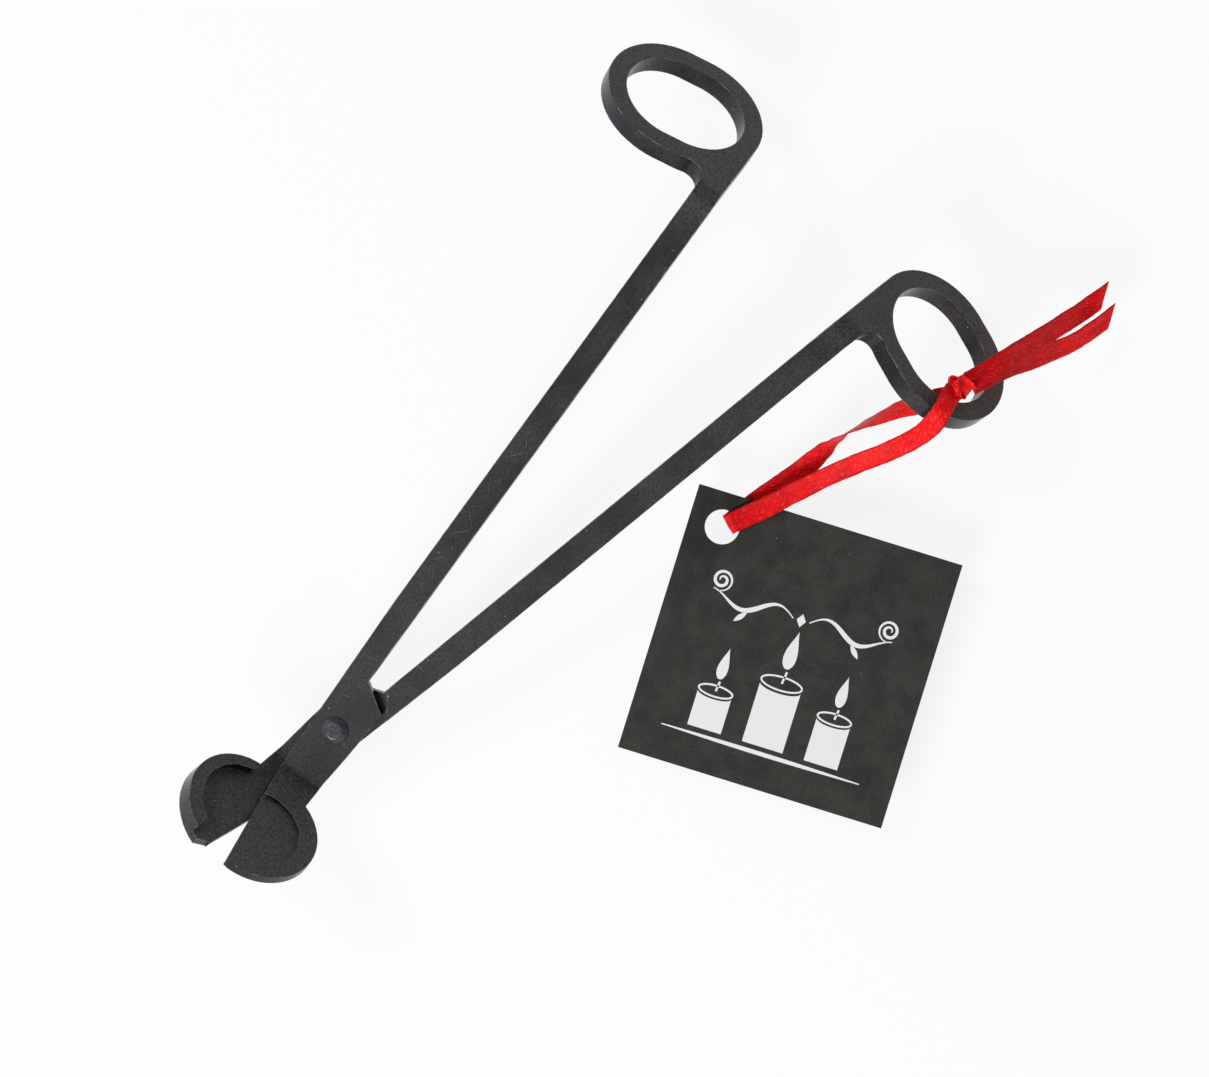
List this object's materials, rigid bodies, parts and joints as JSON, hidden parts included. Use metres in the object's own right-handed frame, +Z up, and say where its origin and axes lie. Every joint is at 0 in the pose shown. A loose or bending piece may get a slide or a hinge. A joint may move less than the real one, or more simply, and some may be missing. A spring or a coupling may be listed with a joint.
{
  "type": "wick trimmer",
  "caption": "Long-handled wick trimmer: bent riveted steel levers with finger rings, half-round cutting heads with a catch tray, and a blank square card on a ribbon loop.",
  "frame": {"origin": "on the table, midway between the furthest reach of the finger rings and of the cutting heads, and midway between the two rings", "axes": "+X from the cutting heads to the finger rings, +Y to the upper lever's ring, +Z up from the table that the trimmer lies on"},
  "size_m": [0.1919, 0.1357, 0.0255],
  "materials": {
    "coated_steel": "matte black baked coating",
    "rivet_steel": "satin black coating",
    "tag_card": "uncoated black card",
    "red_ribbon": "woven satin"
  },
  "bodies": {
    "upper": {"upper_lever": "coated_steel", "pivot_rivet": "rivet_steel"},
    "lower": {"lower_lever": "coated_steel", "ribbon_loop": "red_ribbon", "ribbon_knot": "red_ribbon", "ribbon_tail_upper": "red_ribbon", "ribbon_tail_lower": "red_ribbon"},
    "tag": {"hang_tag": "tag_card"}
  },
  "joints": [
    {"name": "lever_pivot", "type": "hinge", "parent": "upper", "child": "lower", "pos_m": [-0.05403, 0, 0.00363], "axis": [-0.1677, 0, 0.9858], "range_deg": [-20, 14.2]},
    {"name": "tag_swivel", "type": "hinge", "parent": "lower", "child": "tag", "pos_m": [0.0236, -0.0266, 0.0009], "axis": [0, 0, 1], "range_deg": [-30, 20]}
  ]
}
